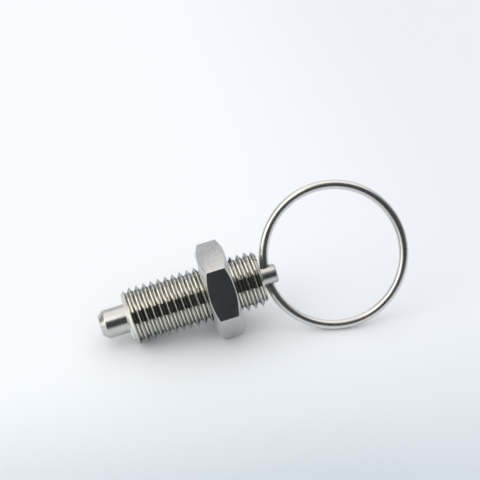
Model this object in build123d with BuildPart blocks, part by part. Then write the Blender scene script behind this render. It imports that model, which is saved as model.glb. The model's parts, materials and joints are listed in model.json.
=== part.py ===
from build123d import *
import os
from math import acos, atan2, ceil, cos, pi, radians, sin, sqrt, tan

# Index plunger with a pull ring and a lock nut, lying on a flat surface.
# Millimetres, +Z up. Stations along the plunger are measured from the front
# face of the sleeve, positive towards the pull ring.

# Sleeve, its outside diameter that of its thread
sleeve_diameter = 11.88
sleeve_length = 29.0
sleeve_chamfer = 1.0
bore_lip_chamfer = 0.3
rear_wall = 3.0

# Right-hand thread, wound from straight lengths; the crest and root are flat
thread_pitch = 1.56
thread_depth = 0.95
thread_crest_width = 0.2
thread_flank_angle = 30.0
thread_start = 0.175
thread_sides = 24

# Plunger pin
nose_diameter = 6.0
nose_reach = 5.8
nose_guide_length = 10.0
nose_chamfer_length = 1.2
nose_chamfer_depth = 0.9
nose_tip_break = 0.2
rod_diameter = 4.0
rod_end_chamfer = 0.4
rod_beyond_hole = 2.25

# Pull ring
ring_outer_diameter = 31.4
wire_diameter = 2.0
wire_sides = 20

# Lock nut
nut_across_flats = 18.0
nut_thickness = 6.0
nut_station = 17.0
nut_chamfer_angle = 30.0
nut_chamfer_share = 0.95
nut_countersink = 0.5

# Spring, wound from square wire
spring_wire_width = 0.6
spring_coils = 5.0

# Clearances
nose_clearance = 0.04
rod_clearance = 0.06
spring_clearance = 0.12
wire_clearance = 0.06
ring_seat_gap = 0.06
nut_clearance = 0.05

# Worked out from the sizes above
sleeve_radius = sleeve_diameter / 2
root_radius = sleeve_radius - thread_depth
crest_edge = thread_crest_width / 2
root_edge = crest_edge + thread_depth * tan(radians(thread_flank_angle))
thread_turns = ceil(sleeve_length / thread_pitch) + 1
nose_radius = nose_diameter / 2
rod_radius = rod_diameter / 2
wire_radius = wire_diameter / 2
bore_radius = nose_radius + nose_clearance
rod_hole_radius = rod_radius + rod_clearance
bore_end = sleeve_length - rear_wall
hole_station = sleeve_length + ring_seat_gap + wire_radius
rod_end = hole_station + rod_beyond_hole
ring_radius = ring_outer_diameter / 2 - wire_radius
ring_station = hole_station + ring_radius
wire_bow = ring_radius - sqrt(ring_radius**2 - rod_radius**2)
cross_hole_radius = wire_radius + wire_bow + wire_clearance
spring_length = bore_end - nose_guide_length
spring_radius = bore_radius - spring_clearance - spring_wire_width / 2
nut_hole_radius = sleeve_radius + nut_clearance
nut_flat_radius = nut_across_flats / 2
nut_corner_radius = nut_across_flats / sqrt(3)
nut_chamfer_radius = nut_chamfer_share * nut_flat_radius
nut_slope = tan(radians(nut_chamfer_angle))

# Rest: the front edge of the sleeve and the front edge of the nut's lower flat
# touch the floor at Z = 0.
flat_edge_station = nut_station + (nut_flat_radius - nut_chamfer_radius) * nut_slope
tilt = atan2(nut_flat_radius - sleeve_radius, flat_edge_station - sleeve_chamfer)
axis_height = sleeve_radius * cos(tilt) - sleeve_chamfer * sin(tilt)
along = Vector(cos(tilt), 0, sin(tilt))
upward = Vector(-sin(tilt), 0, cos(tilt))
sideways = Vector(0, -1, 0)

# The pin is turned until the ring, which lies in a plane through the axis,
# leans far enough to stand with its rim on the floor.
rim_drop = (axis_height + ring_station * sin(tilt) - wire_radius) / ring_radius
ring_lean = acos(min(sqrt(max(rim_drop**2 - sin(tilt) ** 2, 0)) / cos(tilt), 1))
hole_direction = upward * cos(ring_lean) - sideways * sin(ring_lean)
ring_normal = along.cross(hole_direction)

# X = 0 is midway between the tip of the nose and the far side of the ring.
nose_end = nose_reach * cos(tilt) + (nose_radius - nose_chamfer_depth) * sin(tilt)
ring_end = ring_station * cos(tilt) + ring_radius * sqrt(1 - ring_normal.X**2) + wire_radius
origin = Vector((nose_end - ring_end) / 2, 0, axis_height)

plunger_axis = Axis(origin, along)
ring_axis = Axis(origin + along * ring_station, ring_normal)
side_plane = Plane(origin, x_dir=along, z_dir=sideways)
hole_plane = Plane(origin + along * hole_station, x_dir=along, z_dir=hole_direction)


def cross_plane(station):
    """Plane square to the plunger at a station, its X direction level."""
    return Plane(origin + along * station, x_dir=sideways, z_dir=along)


# Thread: each turn has four edges, two on the crest and two in the root, given
# by their distance from the crest's middle and from the axis.
thread_edges = (
    (-crest_edge, sleeve_radius),
    (crest_edge, sleeve_radius),
    (root_edge, root_radius),
    (thread_pitch - root_edge, root_radius),
)


def thread_point(edge, side):
    """Where an edge of the thread, counted along the sleeve, crosses a side counted round it."""
    turn, profile_edge = divmod(edge, 4)
    from_crest, radius = thread_edges[profile_edge]
    share = side / thread_sides
    station = thread_start + (turn + share) * thread_pitch + from_crest
    outward = upward * sin(2 * pi * share) - sideways * cos(2 * pi * share)
    return origin + along * station + outward * radius


def thread_end(edge, apex_station):
    """Cone of faces that closes the thread beyond the end of the sleeve."""
    rim = [thread_point(edge, side) for side in range(thread_sides)]
    rim += [thread_point(edge + step, 0) for step in (4, 3, 2, 1)]
    apex = origin + along * apex_station
    return [Face(Wire.make_polygon([*pair, apex])) for pair in zip(rim, rim[1:] + rim[:1])]


# The thread runs out beyond both ends of the sleeve. Its crest and root are
# plane between two sides; a flank twists, so it is folded along a diagonal.
first_edge = -8
last_edge = 4 * thread_turns
thread_faces = thread_end(first_edge, -3 * thread_pitch)
thread_faces += thread_end(last_edge, (thread_turns + 2) * thread_pitch)
for edge in range(first_edge, last_edge):
    for side in range(thread_sides):
        near = [thread_point(edge, side), thread_point(edge + 1, side)]
        far = [thread_point(edge, side + 1), thread_point(edge + 1, side + 1)]
        if edge % 2 == 0:
            thread_faces.append(Face(Wire.make_polygon([near[0], near[1], far[1], far[0]])))
        else:
            thread_faces.append(Face(Wire.make_polygon([near[0], near[1], far[0]])))
            thread_faces.append(Face(Wire.make_polygon([near[1], far[1], far[0]])))

# Sleeve: turned outline over a bore for the nose and spring, closed at the
# rear but for a smaller hole that lets the rod through, and threaded outside.
with BuildPart() as sleeve:
    with BuildSketch(side_plane):
        with BuildLine():
            Polyline(
                (0, bore_radius + bore_lip_chamfer),
                (0, sleeve_radius - sleeve_chamfer),
                (sleeve_chamfer, sleeve_radius),
                (sleeve_length - sleeve_chamfer, sleeve_radius),
                (sleeve_length, sleeve_radius - sleeve_chamfer),
                (sleeve_length, rod_hole_radius),
                (bore_end, rod_hole_radius),
                (bore_end, bore_radius),
                (bore_lip_chamfer, bore_radius),
                close=True,
            )
        make_face()
    revolve(axis=plunger_axis)
    add(Solid(Shell(thread_faces)), mode=Mode.INTERSECT)
sleeve.part.label = "sleeve"

# Plunger pin: one turned piece, nose, shoulder and rod, cross-drilled for
# the ring.
with BuildPart() as plunger_pin:
    with BuildSketch(side_plane):
        with BuildLine():
            Polyline(
                (-nose_reach, 0),
                (-nose_reach, nose_radius - nose_chamfer_depth),
                (nose_chamfer_length - nose_reach, nose_radius),
                (nose_guide_length, nose_radius),
                (nose_guide_length, rod_radius),
                (rod_end, rod_radius),
                (rod_end, 0),
                close=True,
            )
        make_face()
    revolve(axis=plunger_axis)
    turned_edges = plunger_pin.edges().filter_by(GeomType.CIRCLE).sort_by(plunger_axis)
    chamfer(turned_edges[0], length=nose_tip_break)
    chamfer(turned_edges[-1], length=rod_end_chamfer)
    with BuildSketch(hole_plane):
        Circle(cross_hole_radius)
    extrude(amount=rod_diameter, both=True, mode=Mode.SUBTRACT)
plunger_pin.part.label = "plunger_pin"

# Compression spring between the pin's shoulder and the sleeve's rear wall,
# its ends ground flat.
with BuildPart() as spring:
    with BuildLine():
        coil_path = Helix(
            pitch=spring_length / spring_coils,
            height=spring_length,
            radius=spring_radius,
            center=origin + along * nose_guide_length,
            direction=along,
        )
    coil_start = coil_path @ 0
    coil_outward = coil_start - (origin + along * nose_guide_length)
    with BuildSketch(Plane(coil_start, x_dir=coil_outward, z_dir=coil_path % 0)):
        Rectangle(spring_wire_width, spring_wire_width)
    sweep(path=coil_path, is_frenet=True)
    with BuildSketch(cross_plane(nose_guide_length)):
        Circle(bore_radius)
    extrude(amount=spring_length, mode=Mode.INTERSECT)
spring.part.label = "spring"

# Pull ring: round wire closed through the pin's cross hole.
with BuildPart() as pull_ring:
    with BuildSketch(hole_plane):
        RegularPolygon(wire_radius, side_count=wire_sides)
    revolve(axis=ring_axis)
pull_ring.part.label = "pull_ring"

# Lock nut: a hexagon with a flat on the floor, its corners chamfered on both
# faces and its hole countersunk.
with BuildPart() as lock_nut:
    with BuildSketch(cross_plane(nut_station)):
        RegularPolygon(nut_corner_radius, side_count=6)
        Circle(nut_hole_radius, mode=Mode.SUBTRACT)
    extrude(amount=nut_thickness)
    corner_rise = (nut_corner_radius - nut_chamfer_radius) * nut_slope
    with BuildSketch(side_plane):
        with BuildLine():
            Polyline(
                (nut_station + nut_countersink, 0),
                (nut_station + nut_countersink, nut_hole_radius),
                (nut_station, nut_hole_radius + nut_countersink),
                (nut_station, nut_chamfer_radius),
                (nut_station + corner_rise, nut_corner_radius),
                (nut_station + nut_thickness - corner_rise, nut_corner_radius),
                (nut_station + nut_thickness, nut_chamfer_radius),
                (nut_station + nut_thickness, nut_hole_radius + nut_countersink),
                (nut_station + nut_thickness - nut_countersink, nut_hole_radius),
                (nut_station + nut_thickness - nut_countersink, 0),
                close=True,
            )
        make_face()
    revolve(axis=plunger_axis, mode=Mode.INTERSECT)
lock_nut.part.label = "lock_nut"

os.makedirs("parts", exist_ok=True)
export_step(sleeve.part, "parts/sleeve.step")
export_step(plunger_pin.part, "parts/plunger_pin.step")
export_step(spring.part, "parts/spring.step")
export_step(pull_ring.part, "parts/pull_ring.step")
export_step(lock_nut.part, "parts/lock_nut.step")
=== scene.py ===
import bmesh
import bpy
import json
import math
from mathutils import Matrix, Vector


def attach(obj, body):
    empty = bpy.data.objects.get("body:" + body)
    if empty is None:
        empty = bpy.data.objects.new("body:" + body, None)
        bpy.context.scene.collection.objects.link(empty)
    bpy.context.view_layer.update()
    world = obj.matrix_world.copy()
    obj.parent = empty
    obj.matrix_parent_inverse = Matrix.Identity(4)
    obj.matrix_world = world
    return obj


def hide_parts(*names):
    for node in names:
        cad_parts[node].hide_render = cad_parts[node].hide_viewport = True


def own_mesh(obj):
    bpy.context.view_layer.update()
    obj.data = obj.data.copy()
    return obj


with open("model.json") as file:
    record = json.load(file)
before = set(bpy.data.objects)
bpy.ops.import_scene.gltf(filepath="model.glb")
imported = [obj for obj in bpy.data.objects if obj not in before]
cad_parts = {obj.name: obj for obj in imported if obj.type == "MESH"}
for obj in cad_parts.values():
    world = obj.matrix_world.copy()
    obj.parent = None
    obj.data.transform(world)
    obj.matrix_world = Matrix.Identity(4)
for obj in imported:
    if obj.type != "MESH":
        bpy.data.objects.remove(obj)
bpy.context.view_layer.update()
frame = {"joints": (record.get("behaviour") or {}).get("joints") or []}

# An index plunger of polished stainless steel lying on a pale floor: threaded
# sleeve, sprung pin, pull ring and lock nut. Metres. A station is a distance
# along the plunger from the sleeve's front face, positive towards the ring.
MM = 0.001

# Clearances, the ring's from the sleeve's rear face
nose_clearance = 0.04 * MM
rod_clearance = 0.06 * MM
spring_clearance = 0.14 * MM
nut_clearance = 0.05 * MM
ring_seat_gap = 0.07 * MM

# Pin: its nose and the ring's wire are a hair under the solids' sizes, so that
# the finished model stays inside the solids' box
nose_radius = 3.0 * MM
nose_reach = 5.78 * MM
nose_guide = 10.0 * MM
nose_chamfer_length = 1.2 * MM
nose_chamfer_depth = 0.9 * MM
rod_radius = 2.0 * MM
rod_beyond_hole = 2.25 * MM
rod_chamfer = 0.35 * MM
cross_hole_radius = 1.197 * MM
pin_edge_reach = 0.14 * MM

# Ring
wire_radius = 0.99 * MM
ring_radius = 14.7 * MM

# Sleeve, its thread right-handed
sleeve_radius = 5.94 * MM
sleeve_length = 29.0 * MM
sleeve_chamfer = 1.0 * MM
thread_pitch = 1.56 * MM
thread_start = 0.175 * MM
thread_depth = 0.95 * MM
crest_width = 0.13 * MM
flank_angle = math.radians(30.8)
bore_lip = 0.3 * MM
bore_edge_reach = 0.08 * MM
rear_wall = 3.0 * MM

# Lock nut
nut_station = 17.0 * MM
nut_thickness = 6.0 * MM
nut_flat_radius = 9.0 * MM
nut_chamfer_radius = 8.55 * MM
nut_chamfer_slope = math.tan(math.radians(30))
nut_countersink = 0.5 * MM
nut_edge_break = 0.09 * MM

# Spring
spring_wire_radius = 0.3 * MM
spring_turns = 7.0

# Worked out from the sizes above
bore_radius = nose_radius + nose_clearance
bore_end = sleeve_length - rear_wall
rod_hole_radius = rod_radius + rod_clearance
hole_station = sleeve_length + ring_seat_gap + wire_radius
rod_end = hole_station + rod_beyond_hole
nut_hole_radius = sleeve_radius + nut_clearance
spring_radius = bore_radius - spring_clearance - spring_wire_radius
spring_length = bore_end - nose_guide

# The joints give the plunger's place: the ring swings about its cross hole.
joints = {joint["name"]: joint for joint in frame["joints"]}
along = Vector(joints["plunger_pull"]["axis"]).normalized()
hole_point = Vector(joints["ring_swing"]["pos_m"])
hole_axis = Vector(joints["ring_swing"]["axis"]).normalized()
ring_normal = along.cross(hole_axis)
ring_centre = hole_point + along * ring_radius
front = hole_point - along * hole_station
level = Vector((0, 0, 1)).cross(along).normalized()


def placement(x_axis, y_axis, point):
    """The matrix that carries a piece made about its own X axis to its place."""
    turn = Matrix((x_axis, y_axis, x_axis.cross(y_axis))).transposed()
    return Matrix.Translation(point) @ turn.to_4x4()


plunger_place = placement(along, level, front)
hole_place = placement(hole_axis, along, hole_point)
ring_place = placement(ring_normal, along, ring_centre)


# ---------------------------------------------------------------- node graphs

# A Mix node's colour sockets, by number because its sockets share their names
MIX_FACTOR, MIX_FIRST, MIX_SECOND, MIX_RESULT = 0, 6, 7, 2


def maths(operation, *values):
    """A Math node on these values, in the tree of the first one that is a wire."""
    wire = next(value for value in values if isinstance(value, Wire))
    graph = Graph(wire.socket.id_data)
    return graph.node("ShaderNodeMath", {"operation": operation}, dict(enumerate(values)))


class Wire:
    """A node's output socket; arithmetic on it adds Math nodes to its tree."""

    def __init__(self, socket):
        self.socket = socket

    def outlet(self, name):
        """Another output of the same node."""
        return Wire(self.socket.node.outputs[name])

    def __add__(self, other):
        return maths("ADD", self, other)

    def __radd__(self, other):
        return maths("ADD", other, self)

    def __sub__(self, other):
        return maths("SUBTRACT", self, other)

    def __rsub__(self, other):
        return maths("SUBTRACT", other, self)

    def __mul__(self, other):
        return maths("MULTIPLY", self, other)

    def __rmul__(self, other):
        return maths("MULTIPLY", other, self)

    def __truediv__(self, other):
        return maths("DIVIDE", self, other)

    def __rtruediv__(self, other):
        return maths("DIVIDE", other, self)

    def __pow__(self, other):
        return maths("POWER", self, other)

    def least(self, other):
        return maths("MINIMUM", self, other)

    def most(self, other):
        return maths("MAXIMUM", self, other)


class Graph:
    """A node tree that nodes are added to."""

    def __init__(self, tree):
        self.tree = tree

    def node(self, kind, settings=None, sockets=None, output=0):
        """Adds a node: its settings are set first, then its sockets are set or linked."""
        made = self.tree.nodes.new(kind)
        for name, value in (settings or {}).items():
            setattr(made, name, value)
        for name, value in (sockets or {}).items():
            if isinstance(value, Wire):
                self.tree.links.new(value.socket, made.inputs[name])
            else:
                made.inputs[name].default_value = value
        return Wire(made.outputs[output]) if made.outputs else None


def vector_maths(graph, operation, *vectors, output="Value"):
    """A Vector Math node on these vectors, which gives a number unless told otherwise."""
    sockets = dict(enumerate(vectors))
    return graph.node("ShaderNodeVectorMath", {"operation": operation}, sockets, output)


def ramp(graph, value, start, end, easing="LINEAR"):
    """Goes from 0 to 1 as the value goes from start to end, and stays there."""
    sockets = {"Value": value, "From Min": start, "From Max": end}
    return graph.node("ShaderNodeMapRange", {"interpolation_type": easing}, sockets)


def eased_ramp(graph, value, start, end):
    """A ramp that starts and ends gently."""
    return ramp(graph, value, start, end, "SMOOTHSTEP")


def noise(graph, vector, scale, detail=3.0, roughness=0.5):
    """Noise with this many patches to a metre, or to a unit of the vector."""
    sockets = {"Vector": vector, "Scale": scale, "Detail": detail, "Roughness": roughness}
    return graph.node("ShaderNodeTexNoise", None, sockets)


def blend_colours(graph, factor, first, second, mode="MIX"):
    """Mixes the second colour into the first, which may be a wire, by this factor."""
    settings = {"data_type": "RGBA", "blend_type": mode}
    sockets = {
        MIX_FACTOR: factor,
        MIX_FIRST: first if isinstance(first, Wire) else (*first, 1.0),
        MIX_SECOND: (*second, 1.0),
    }
    return graph.node("ShaderNodeMix", settings, sockets, MIX_RESULT)


# ------------------------------------------------------------------ materials


def new_material(name):
    """An empty material, and the graph of its node tree."""
    material = bpy.data.materials.new(name)
    material.use_nodes = True
    material.node_tree.nodes.clear()
    return material, Graph(material.node_tree)


def steel_coordinates(graph):
    """Position, station along the plunger and distance from its axis, the last two in mm."""
    position = graph.node("ShaderNodeTexCoord", output="Object")
    from_front = vector_maths(graph, "SUBTRACT", position, front, output="Vector")
    station = vector_maths(graph, "DOT_PRODUCT", from_front, along)
    length = vector_maths(graph, "LENGTH", from_front)
    radius = (length * length - station * station).most(0.0) ** 0.5
    return position, station * (1 / MM), radius * (1 / MM)


def tool_marks(graph, first, second, roughness=0.65):
    """Fine lines that run along the surface wherever neither of these two values changes."""
    marks = graph.node("ShaderNodeCombineXYZ", None, {"X": first, "Y": second, "Z": 0.0})
    return noise(graph, marks, 1.0, 4.0, roughness)


def steel_surface(graph, colour, roughness, relief, strength, edge_tint=(1.0, 1.0, 1.0)):
    """Bare metal with a fine relief; the edge tint darkens it where it is seen edge-on."""
    relief_depth = 0.01 * MM
    sockets = {"Strength": strength, "Distance": relief_depth, "Height": relief}
    bump = graph.node("ShaderNodeBump", None, sockets)
    steel = graph.node(
        "ShaderNodeBsdfPrincipled",
        None,
        {
            "Base Color": colour,
            "Metallic": 1.0,
            "Roughness": roughness,
            "Specular Tint": (*edge_tint, 1.0),
            "Normal": bump,
        },
    )
    graph.node("ShaderNodeOutputMaterial", None, {"Surface": steel})


def turned_steel():
    """The pin's polished stainless steel, with faint turning rings and tumbling haze."""
    material, graph = new_material("pin_steel")
    position, station, radius = steel_coordinates(graph)
    ring_marks = tool_marks(graph, station * 9.0, radius * 9.0)
    haze = noise(graph, position, 260.0)
    grain = noise(graph, position, 5200.0, 2.0)
    cleaned = ramp(graph, haze, 0.3, 0.7)
    colour = blend_colours(graph, cleaned, (0.56, 0.55, 0.53), (0.61, 0.60, 0.575))
    on_rod = ramp(graph, station, 12.0, 14.0)
    roughness = 0.19 + ring_marks * 0.05 + grain * 0.03 + haze * 0.03 + on_rod * 0.03
    steel_surface(graph, colour, roughness, ring_marks + grain * 0.5, 0.12, (0.66, 0.67, 0.69))
    return material


def threaded_steel():
    """The sleeve's stainless steel, with painted shade at the foot of the thread's flanks, warmer
    there and in the roots, and a painted highlight on its front end.
    """
    material, graph = new_material("sleeve_steel")
    position, station, radius = steel_coordinates(graph)
    root_depth = (sleeve_radius / MM - radius) / (thread_depth / MM)
    ring_marks = tool_marks(graph, station * 14.0, radius * 14.0)
    haze = noise(graph, position, 300.0)
    grain = noise(graph, position, 6000.0, 2.0)

    # Painted shade darkens the foot of the thread's flanks, so the roots' floors are brighter
    # than it, and the roots' floors are warmer in colour. The front end's fine turning is
    # rougher, and its colour is paler as a painted highlight.
    near_root = eased_ramp(graph, root_depth + haze * 0.2, 0.45, 1.0)
    on_flank = ramp(graph, root_depth, 0.995, 0.98)
    in_root = near_root * on_flank
    turned_end_with_painted_highlight = ramp(graph, station, 1.15, 0.9)
    clean = blend_colours(graph, haze, (0.69, 0.68, 0.63), (0.74, 0.73, 0.68))
    # Painted shade: a dark, warm colour at the foot of the flanks, deepest near the roots.
    flank_foot_painted_shade = blend_colours(graph, in_root * 0.6, clean, (0.37, 0.35, 0.305))
    stained = blend_colours(graph, near_root - in_root, flank_foot_painted_shade, (0.72, 0.705, 0.63))
    # Painted highlight: the front end's colour is made paler; its added roughness is the fine
    # turning.
    colour = blend_colours(graph, turned_end_with_painted_highlight, stained, (0.88, 0.86, 0.81))
    roughness = 0.04 + ring_marks * 0.04 + grain * 0.02 + in_root * 0.03 + turned_end_with_painted_highlight * 0.28
    steel_surface(graph, colour, roughness, ring_marks + grain * 0.5, 0.15, (0.47, 0.50, 0.54))
    return material


def drawn_wire_steel():
    """The ring's bright wire: draw lines that follow the ring, and a soft handling haze."""
    material, graph = new_material("ring_steel")
    position = graph.node("ShaderNodeTexCoord", output="Object")
    from_centre = vector_maths(graph, "SUBTRACT", position, ring_centre, output="Vector")
    across = vector_maths(graph, "LENGTH", from_centre) * (1 / MM)
    height = vector_maths(graph, "DOT_PRODUCT", from_centre, ring_normal) * (1 / MM)
    draw_lines = tool_marks(graph, across * 12.0, height * 12.0, 0.7)
    haze = noise(graph, position, 220.0)
    grain = noise(graph, position, 5200.0, 2.0)
    colour = blend_colours(graph, haze, (0.68, 0.66, 0.63), (0.75, 0.73, 0.71))
    roughness = 0.20 + draw_lines * 0.07 + haze * 0.05 + grain * 0.02
    steel_surface(graph, colour, roughness, draw_lines + grain * 0.4, 0.1)
    return material


def nut_steel():
    """Machined and tumbled stainless steel, faintly mottled and less bright than the sleeve."""
    material, graph = new_material("nut_steel")
    position, station, radius = steel_coordinates(graph)
    ring_marks = tool_marks(graph, station * 5.0, radius * 7.0, 0.6)
    haze = noise(graph, position, 240.0, 4.0)
    grain = noise(graph, position, 4200.0)
    mottle = noise(graph, position, 1700.0, 3.0, 0.6)
    patches = ramp(graph, mottle, 0.32, 0.68)
    shade = haze * 0.3 + patches * 0.7
    colour = blend_colours(graph, shade, (0.50, 0.50, 0.50), (0.615, 0.615, 0.605))
    roughness = 0.07 + ring_marks * 0.05 + grain * 0.06 + haze * 0.08 + patches * 0.06
    steel_surface(graph, colour, roughness, ring_marks * 0.5 + grain, 0.15)
    return material


def spring_wire_steel():
    """Darker oiled spring wire with fine specks."""
    material, graph = new_material("spring_steel")
    position = graph.node("ShaderNodeTexCoord", output="Object")
    specks = noise(graph, position, 2600.0, 4.0, 0.7)
    film = noise(graph, position, 500.0, 2.0)
    colour = blend_colours(graph, specks, (0.30, 0.29, 0.28), (0.44, 0.43, 0.42))
    roughness = 0.26 + specks * 0.12 + film * 0.1
    steel_surface(graph, colour, roughness, specks, 0.2)
    return material


# --------------------------------------------------------------------- shapes

MERGE_DISTANCE = 0.001 * MM
COINCIDENT_DISTANCE = 0.0001 * MM
SHARP_ANGLE = math.radians(32)


def add_object(name, data):
    """A new object in the scene that holds this mesh, lamp or camera."""
    made = bpy.data.objects.new(name, data)
    bpy.context.collection.objects.link(made)
    return made


def add_piece(name, mesh, material, place, node, body):
    """Puts a finished mesh in the scene in place of its solid, riding on its body."""
    mesh.transform(place)
    mesh.name = name
    mesh.materials.clear()
    mesh.materials.append(material)
    piece = add_object(name, mesh)
    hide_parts(node)
    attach(piece, body)
    return piece


def around(station, radius, angle):
    """The point at this station and this far from the X axis, the angle counted from Y."""
    return (station, radius * math.cos(angle), radius * math.sin(angle))


def softened(outline, reach, steps=5, most_of_side=0.45):
    """The outline with each inner corner rounded off, reaching this far along its sides."""
    points = [Vector(point) for point in outline]
    rounded = [points[0]]
    for before, corner, after in zip(points, points[1:], points[2:]):
        back = before - corner
        ahead = after - corner
        start = corner + back.normalized() * min(reach, back.length * most_of_side)
        end = corner + ahead.normalized() * min(reach, ahead.length * most_of_side)
        for step in range(steps + 1):
            share = step / steps
            rounded.append(start.lerp(corner, share).lerp(corner.lerp(end, share), share))
    return rounded + [points[-1]]


def skin(shell, rows, closed=False):
    """Faces between neighbouring rows of points, each of which goes once round the axis."""
    for lower, upper in zip(rows, rows[1:] + rows[:1] if closed else rows[1:]):
        for column in range(len(lower)):
            following = (column + 1) % len(lower)
            shell.faces.new((lower[column], lower[following], upper[following], upper[column]))


def turned(outline, columns, closed=False):
    """A bmesh of the (station, radius) outline turned about the X axis."""
    shell = bmesh.new()
    angles = [2 * math.pi * column / columns for column in range(columns)]
    rows = [
        [shell.verts.new(around(station, radius, angle)) for angle in angles]
        for station, radius in outline
    ]
    skin(shell, rows, closed)
    bmesh.ops.remove_doubles(shell, verts=shell.verts, dist=COINCIDENT_DISTANCE)
    return shell


def smooth(mesh, sharp_angle=SHARP_ANGLE):
    """Shades the mesh smooth but for edges that turn by more than the sharp angle."""
    mesh.shade_smooth()
    mesh.set_sharp_from_angle(angle=sharp_angle)
    return mesh


def finished_mesh(name, shell, sharp_angle=SHARP_ANGLE):
    """Closes a shell's seams, faces it outwards and makes it a smooth mesh."""
    bmesh.ops.remove_doubles(shell, verts=shell.verts, dist=MERGE_DISTANCE)
    bmesh.ops.dissolve_degenerate(shell, edges=shell.edges, dist=COINCIDENT_DISTANCE)
    bmesh.ops.recalc_face_normals(shell, faces=shell.faces)
    mesh = bpy.data.meshes.new(name)
    shell.to_mesh(mesh)
    shell.free()
    return smooth(mesh, sharp_angle)


def evaluated_mesh(name, mesh, modifier_kind, set_up):
    """The mesh after one modifier, as a plain mesh with no modifier left."""
    holder = add_object(name, mesh)
    set_up(holder.modifiers.new(name, modifier_kind))
    evaluated = holder.evaluated_get(bpy.context.evaluated_depsgraph_get())
    result = bpy.data.meshes.new_from_object(evaluated)
    bpy.data.objects.remove(holder)
    return result


def shape_tree(name, kinds):
    """A geometry tree with these named inputs, and a wire from each of them."""
    tree = bpy.data.node_groups.new(name, "GeometryNodeTree")
    for label, kind in kinds.items():
        tree.interface.new_socket(label, in_out="INPUT", socket_type="NodeSocket" + kind)
    tree.interface.new_socket("Geometry", in_out="OUTPUT", socket_type="NodeSocketGeometry")
    group_input = tree.nodes.new("NodeGroupInput")
    return tree, {label: Wire(group_input.outputs[label]) for label in kinds}


def close_tree(graph, geometry, material):
    """Ends a geometry tree with real faces in this material."""
    real = graph.node("GeometryNodeRealizeInstances", None, {"Geometry": geometry})
    sockets = {"Geometry": real, "Material": material}
    finished = graph.node("GeometryNodeSetMaterial", None, sockets)
    graph.node("NodeGroupOutput", None, {"Geometry": finished})


def grown_mesh(name, tree, sizes):
    """The tree's shape as a plain mesh, its inputs set by their sockets' identifiers."""
    identifiers = {
        item.name: item.identifier
        for item in tree.interface.items_tree
        if item.item_type == "SOCKET" and item.in_out == "INPUT"
    }

    def set_up(modifier):
        modifier.node_group = tree
        for label, value in sizes.items():
            modifier[identifiers[label]] = value

    return evaluated_mesh(name, bpy.data.meshes.new(name), "NODES", set_up)


def thread_tree():
    """A sheet wound round the axis whose rows follow the thread's crests, flanks and roots."""
    tree, size = shape_tree(
        "sleeve_thread",
        {
            "Radius": "Float",
            "Length": "Float",
            "Pitch": "Float",
            "Start": "Float",
            "Depth": "Float",
            "Crest Width": "Float",
            "Chamfer": "Float",
            "Rows per Pitch": "Int",
            "Columns": "Int",
            "Material": "Material",
        },
    )
    graph = Graph(tree)

    # The sheet's X counts turns, the first few of them ahead of the sleeve's
    # front, and its Y is the share of a turn.
    lead_turns = 2.0
    turns = maths("CEIL", size["Length"] / size["Pitch"]) + lead_turns
    sheet = graph.node(
        "GeometryNodeMeshGrid",
        None,
        {
            "Size X": turns,
            "Size Y": 1.0,
            "Vertices X": turns * size["Rows per Pitch"] + 1.0,
            "Vertices Y": size["Columns"] + 1.0,
        },
    )
    position = graph.node("GeometryNodeInputPosition")
    spread = graph.node("ShaderNodeSeparateXYZ", None, {"Vector": position})
    down = spread.outlet("X") + turns * 0.5
    round_share = spread.outlet("Y") + 0.5

    # How far the profile drops from the crest, which is softly rounded
    from_crest = maths("PINGPONG", down, 0.5)
    half_crest = size["Crest Width"] * 0.5
    flank_drop = (from_crest * size["Pitch"] - half_crest) / math.tan(flank_angle)
    crest_rounding = size["Crest Width"] * 0.35
    rounded_crest = maths("SMOOTH_MAX", flank_drop, 0.0, crest_rounding)
    drop = rounded_crest.least(size["Depth"])

    # The thread runs out over the chamfers and stops at the sleeve's end faces.
    raw_station = size["Start"] + (down + round_share - lead_turns) * size["Pitch"]
    station = raw_station.most(0.0).least(size["Length"])
    from_end = station.least(size["Length"] - station)
    chamfer_radius = size["Radius"] - size["Chamfer"] + from_end
    radius = (size["Radius"] - drop).least(chamfer_radius)
    angle = round_share * (2 * math.pi)
    wound = graph.node(
        "ShaderNodeCombineXYZ",
        None,
        {
            "X": station,
            "Y": radius * maths("COSINE", angle),
            "Z": radius * maths("SINE", angle),
        },
    )
    bent = graph.node("GeometryNodeSetPosition", None, {"Geometry": sheet, "Position": wound})
    sockets = {"Geometry": bent, "Distance": MERGE_DISTANCE}
    seamed = graph.node("GeometryNodeMergeByDistance", None, sockets)
    close_tree(graph, seamed, size["Material"])
    return tree


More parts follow.
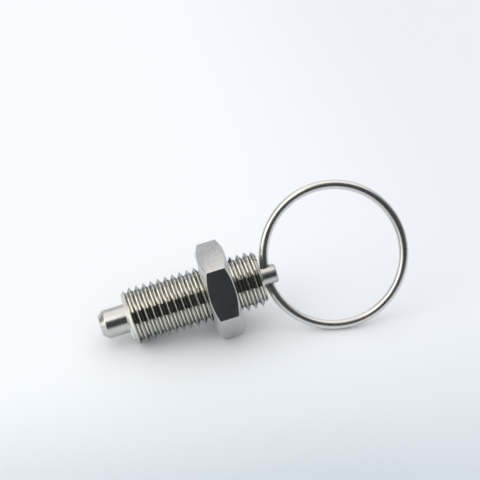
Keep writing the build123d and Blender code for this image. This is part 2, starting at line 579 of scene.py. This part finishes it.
def coil_tree():
    """Round wire wound into a coil whose end turns close up."""
    tree, size = shape_tree(
        "spring_coil",
        {
            "Radius": "Float",
            "Wire Radius": "Float",
            "Length": "Float",
            "Turns": "Float",
            "Steps per Turn": "Int",
            "Wire Sides": "Int",
            "Material": "Material",
        },
    )
    graph = Graph(tree)
    steps = size["Steps per Turn"] * size["Turns"]
    sockets = {"Count": steps + 1.0, "Offset": (0.0, 0.0, 0.0)}
    path = graph.node("GeometryNodeMeshLine", None, sockets)
    share = graph.node("GeometryNodeInputIndex") / steps
    eased = eased_ramp(graph, share, 0.0, 1.0)
    angle = share * size["Turns"] * (2 * math.pi)
    travel = size["Length"] - size["Wire Radius"] * 2.0
    wound = graph.node(
        "ShaderNodeCombineXYZ",
        None,
        {
            "X": size["Wire Radius"] + eased * travel,
            "Y": size["Radius"] * maths("COSINE", angle),
            "Z": size["Radius"] * maths("SINE", angle),
        },
    )
    coil = graph.node("GeometryNodeSetPosition", None, {"Geometry": path, "Position": wound})
    curve = graph.node("GeometryNodeMeshToCurve", None, {"Mesh": coil})
    sockets = {"Resolution": size["Wire Sides"], "Radius": size["Wire Radius"]}
    section = graph.node("GeometryNodeCurvePrimitiveCircle", None, sockets)
    sockets = {"Curve": curve, "Profile Curve": section, "Fill Caps": True}
    wire = graph.node("GeometryNodeCurveToMesh", None, sockets)
    close_tree(graph, wire, size["Material"])
    return tree


# --------------------------------------------------------------------- pieces


def threaded_sleeve(steel):
    """The thread, closed by its end faces and by the stepped bore."""
    columns = 88
    thread = grown_mesh(
        "thread",
        thread_tree(),
        {
            "Radius": sleeve_radius,
            "Length": sleeve_length,
            "Pitch": thread_pitch,
            "Start": thread_start,
            "Depth": thread_depth,
            "Crest Width": crest_width,
            "Chamfer": sleeve_chamfer,
            "Rows per Pitch": 52,
            "Columns": columns,
            "Material": steel,
        },
    )
    rim_radius = sleeve_radius - sleeve_chamfer
    bore = [
        (0.0, rim_radius),
        (0.0, bore_radius + bore_lip),
        (bore_lip, bore_radius),
        (bore_end, bore_radius),
        (bore_end, rod_hole_radius),
        (sleeve_length, rod_hole_radius),
        (sleeve_length, rim_radius),
    ]
    shell = turned(softened(bore, bore_edge_reach), columns)
    shell.from_mesh(thread)
    mesh = finished_mesh("threaded_sleeve", shell)
    return add_piece(
        "threaded_sleeve", mesh, steel, plunger_place, "sleeve", "sleeve"
    )


def cross_drilled(blank):
    """The pin's blank with the ring's hole drilled through the rod."""
    drill_reach = 3.0 * MM
    drill = [
        (-drill_reach, 0.0),
        (-drill_reach, cross_hole_radius),
        (drill_reach, cross_hole_radius),
        (drill_reach, 0.0),
    ]
    cutter_mesh = finished_mesh("ring_drill", turned(drill, columns=64))
    cutter_mesh.transform(plunger_place.inverted() @ hole_place)
    cutter = add_object("ring_drill", cutter_mesh)

    def set_up(modifier):
        modifier.operation = "DIFFERENCE"
        modifier.solver = "EXACT"
        modifier.object = cutter

    drilled = evaluated_mesh("plunger_pin", blank, "BOOLEAN", set_up)
    bpy.data.objects.remove(cutter)
    return smooth(drilled)


def sprung_pin(steel):
    """Nose, shoulder and rod turned as one piece, drilled for the ring."""
    outline = [
        (-nose_reach, 0.0),
        (-nose_reach, nose_radius - nose_chamfer_depth),
        (nose_chamfer_length - nose_reach, nose_radius),
        (nose_guide, nose_radius),
        (nose_guide, rod_radius),
        (rod_end - rod_chamfer, rod_radius),
        (rod_end, rod_radius - rod_chamfer),
        (rod_end, 0.0),
    ]
    shell = turned(softened(outline, pin_edge_reach), columns=96)
    mesh = cross_drilled(finished_mesh("pin_blank", shell))
    return add_piece(
        "sprung_pin", mesh, steel, plunger_place, "plunger_pin", "plunger_pin"
    )


def coil_spring(steel):
    """The spring between the pin's shoulder and the sleeve's rear wall."""
    mesh = grown_mesh(
        "coil_spring",
        coil_tree(),
        {
            "Radius": spring_radius,
            "Wire Radius": spring_wire_radius,
            "Length": spring_length,
            "Turns": spring_turns,
            "Steps per Turn": 48,
            "Wire Sides": 14,
            "Material": steel,
        },
    )
    mesh.shade_smooth()
    place = plunger_place @ Matrix.Translation((nose_guide, 0, 0))
    piece = add_piece("coil_spring", mesh, steel, place, "spring", "spring")
    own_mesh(piece)
    return piece


def pull_ring(steel):
    """Round wire closed through the pin's cross hole."""
    sides = 28
    section = []
    for side in range(sides):
        angle = 2 * math.pi * side / sides
        across = ring_radius + wire_radius * math.cos(angle)
        section.append((wire_radius * math.sin(angle), across))
    mesh = finished_mesh("wire_ring", turned(section, columns=256, closed=True))
    return add_piece(
        "wire_ring", mesh, steel, ring_place, "pull_ring", "pull_ring"
    )


def hexagon_radius(angle):
    """How far the hexagon's side is from the axis in this direction; corners lie on Y."""
    side_angle = 60
    from_flat = math.degrees(angle) % side_angle - side_angle / 2
    return nut_flat_radius / math.cos(math.radians(from_flat))


def nut_shell(columns):
    """The nut's closed shell: countersunk hole, chamfered faces and six flats."""
    shell = bmesh.new()
    rounds = []
    for column in range(columns):
        angle = 2 * math.pi * column / columns
        corner = hexagon_radius(angle)
        rise = (corner - nut_chamfer_radius) * nut_chamfer_slope
        outline = [
            (nut_countersink, nut_hole_radius),
            (0.0, nut_hole_radius + nut_countersink),
            (0.0, nut_chamfer_radius),
            (rise, corner),
            (nut_thickness - rise, corner),
            (nut_thickness, nut_chamfer_radius),
            (nut_thickness, nut_hole_radius + nut_countersink),
            (nut_thickness - nut_countersink, nut_hole_radius),
        ]
        rounds.append(
            [
                shell.verts.new(around(nut_station + height, radius, angle))
                for height, radius in outline
            ]
        )
    skin(shell, [list(row) for row in zip(*rounds)], closed=True)
    return shell


def hexagon_nut(steel):
    """The thin lock nut, its edges just broken."""

    def set_up(modifier):
        modifier.width = nut_edge_break
        modifier.segments = 3
        modifier.limit_method = "ANGLE"
        modifier.angle_limit = math.radians(22)

    blank = finished_mesh("nut_blank", nut_shell(columns=120), sharp_angle=math.pi)
    mesh = smooth(evaluated_mesh("hexagon_nut", blank, "BEVEL", set_up))
    return add_piece(
        "hexagon_nut", mesh, steel, plunger_place, "lock_nut", "lock_nut"
    )


# ---------------------------------------------------------------------- stage


def floor_paper():
    """Pale paper with a very faint tooth, darkened in front and greyed to the right by painted
    shade, and fading to pale again at its front edge."""
    material, graph = new_material("floor_paper")
    position = graph.node("ShaderNodeTexCoord", output="Object")
    spread = graph.node("ShaderNodeSeparateXYZ", None, {"Vector": position})
    further = eased_ramp(graph, spread.outlet("Y"), -0.075, 0.0)
    right = eased_ramp(graph, spread.outlet("X"), -0.01, 0.07)
    at_edge = eased_ramp(graph, spread.outlet("Y"), -0.061, -0.102)
    tooth = noise(graph, position, 900.0, 2.0)
    # Painted shade: darker paper in front and greyer paper to the right, where less light falls.
    paper_and_painted_shade = blend_colours(graph, further, (0.51, 0.575, 0.63), (0.88, 0.91, 0.94))
    paper_and_painted_shade = blend_colours(graph, right * 0.64, paper_and_painted_shade, (0.75, 0.78, 0.825))
    paper_and_painted_shade = blend_colours(graph, at_edge, paper_and_painted_shade, (0.93, 0.955, 0.98))
    colour = blend_colours(graph, 0.04 * tooth, paper_and_painted_shade, (0.9, 0.9, 0.9), "MULTIPLY")
    paper = graph.node("ShaderNodeBsdfPrincipled", None, {"Base Color": colour, "Roughness": 0.9})
    graph.node("ShaderNodeOutputMaterial", None, {"Surface": paper})
    return material


def pale_sweep():
    """A floor that curves up into a backdrop behind the plunger."""
    half_width = 1.2
    front_edge = -0.11
    bend_start = 0.7
    bend_radius = 0.35
    bend_steps = 12
    profile = [(front_edge, 0.0), (bend_start, 0.0)]
    for step in range(1, bend_steps + 1):
        angle = math.pi / 2 * step / bend_steps
        rise = bend_radius * (1 - math.cos(angle))
        profile.append((bend_start + bend_radius * math.sin(angle), rise))
    shell = bmesh.new()
    rows = [[shell.verts.new((side * half_width, y, z)) for side in (-1, 1)] for y, z in profile]
    for lower, upper in zip(rows, rows[1:]):
        shell.faces.new((lower[0], lower[1], upper[1], upper[0]))
    mesh = bpy.data.meshes.new("pale_sweep")
    shell.to_mesh(mesh)
    shell.free()
    mesh.shade_smooth()
    mesh.materials.append(floor_paper())
    add_object("pale_sweep", mesh)


def key_panel():
    """A soft square lamp above and to the left, turned towards the plunger."""
    lamp = bpy.data.lights.new("key_panel", "AREA")
    lamp.shape = "SQUARE"
    lamp.size = 0.7
    lamp.energy = 0.7
    lamp.color = (1.0, 0.985, 0.965)
    holder = add_object("key_panel", lamp)
    holder.location = (-0.52, -0.16, 0.60)
    holder.rotation_euler = (-holder.location).to_track_quat("-Z", "Y").to_euler()


def studio_room():
    """The room that the metal mirrors: dark in front, a pale wall and a window on the left,
    grey behind, and a broad panel overhead, lit on the nose's side and at its top. The
    camera sees a pale backdrop instead."""
    front_room = (0.032, 0.037, 0.040)
    right_wall = (0.10, 0.10, 0.10)
    left_wall = (0.74, 0.74, 0.72)
    window = (1.25, 1.23, 1.14)
    back_wall = (0.40, 0.41, 0.43)
    back_left_wall = (0.24, 0.24, 0.22)
    panel_dark = (0.10, 0.105, 0.11)
    panel_lit = (1.16, 1.14, 1.08)
    panel_top = (0.88, 0.86, 0.85)
    even_light = (0.69, 0.695, 0.70)
    backdrop_tone = (0.92, 0.95, 0.98)
    evenness = 0.85
    backdrop_in_metal = 0.7

    world = bpy.data.worlds.new("studio_room")
    world.use_nodes = True
    world.node_tree.nodes.clear()
    graph = Graph(world.node_tree)
    direction = graph.node("ShaderNodeTexCoord", output="Generated")
    spread = graph.node("ShaderNodeSeparateXYZ", None, {"Vector": direction})
    across = spread.outlet("X")
    height = spread.outlet("Z")
    towards_front = 0.0 - spread.outlet("Y")

    def zone(value, start, end):
        return eased_ramp(graph, value, start, end)

    def facing(aim):
        """The cosine of the angle between the direction and this one."""
        return vector_maths(graph, "DOT_PRODUCT", direction, Vector(aim).normalized())

    # Bearings go round from straight in front, positive to the right. The climb
    # goes from the front horizon up over the top. Both are in radians.
    bearing = maths("ARCTAN2", across, towards_front)
    climb = maths("ARCTAN2", height, towards_front)
    behind = zone(spread.outlet("Y"), -0.05, 0.25)
    behind_left = behind * zone(across, -0.18, -0.42)
    panel = zone(facing((0.0, 0.14, 0.99)), 0.69, 0.72)
    lit_side = zone(facing(along), -0.005, -0.04)
    glow = blend_colours(graph, zone(bearing, 0.75, 0.95), front_room, right_wall)
    glow = blend_colours(graph, zone(bearing, -0.62, -0.76), glow, left_wall)
    glow = blend_colours(graph, zone(bearing, -1.12, -1.26), glow, window)
    glow = blend_colours(graph, behind, glow, back_wall)
    glow = blend_colours(graph, behind_left, glow, back_left_wall)
    glow = blend_colours(graph, panel, glow, panel_dark)
    glow = blend_colours(graph, panel * lit_side, glow, panel_lit)
    glow = blend_colours(graph, panel * zone(climb, 1.22, 1.50), glow, panel_top)

    # Matt surfaces get a nearly even light. The camera sees the backdrop, and so
    # does metal, in part, where it mirrors what is low down behind.
    rays = graph.node("ShaderNodeLightPath")
    glow = blend_colours(graph, rays.outlet("Is Diffuse Ray") * evenness, glow, even_light)
    metal_rays = rays.outlet("Is Glossy Ray").most(rays.outlet("Is Transmission Ray"))
    low = zone(height, 0.55, 0.45)
    mirrored = metal_rays * (behind - behind_left) * low * backdrop_in_metal
    shown = rays.outlet("Is Camera Ray").most(mirrored)
    room = graph.node("ShaderNodeBackground", None, {"Color": glow, "Strength": 1.5})
    sockets = {"Color": (*backdrop_tone, 1.0), "Strength": 1.0}
    backdrop = graph.node("ShaderNodeBackground", None, sockets)
    mixed = graph.node("ShaderNodeMixShader", None, {0: shown, 1: room, 2: backdrop})
    graph.node("ShaderNodeOutputWorld", None, {"Surface": mixed})
    bpy.context.scene.world = world


def stage_camera():
    """Looks down on the plunger from its front left, turned a little about its own axis."""
    azimuth = math.radians(-10.543)
    elevation = math.radians(35.047)
    roll = math.radians(2.187)
    distance = 0.3413
    aim = Vector((-0.00197, 0.0, 0.02104))
    level_reach = math.cos(elevation)
    towards = Vector(
        (
            math.sin(azimuth) * level_reach,
            -math.cos(azimuth) * level_reach,
            math.sin(elevation),
        )
    )
    right = Vector((0, 0, 1)).cross(towards).normalized()
    up = towards.cross(right)
    rolled_right = right * math.cos(roll) - up * math.sin(roll)
    rolled_up = up * math.cos(roll) + right * math.sin(roll)
    turn = Matrix((rolled_right, rolled_up, towards)).transposed()
    camera = bpy.data.cameras.new("stage_camera")
    camera.sensor_width = 36.0
    camera.lens = 125.53
    camera.shift_x = -0.0052
    camera.clip_start = 0.01
    holder = add_object("stage_camera", camera)
    holder.matrix_world = Matrix.Translation(aim + towards * distance) @ turn.to_4x4()
    bpy.context.scene.camera = holder


threaded_sleeve(threaded_steel())
sprung_pin(turned_steel())
coil_spring(spring_wire_steel())
pull_ring(drawn_wire_steel())
hexagon_nut(nut_steel())

pale_sweep()
studio_room()
key_panel()
stage_camera()
bpy.context.scene.view_settings.view_transform = "Standard"
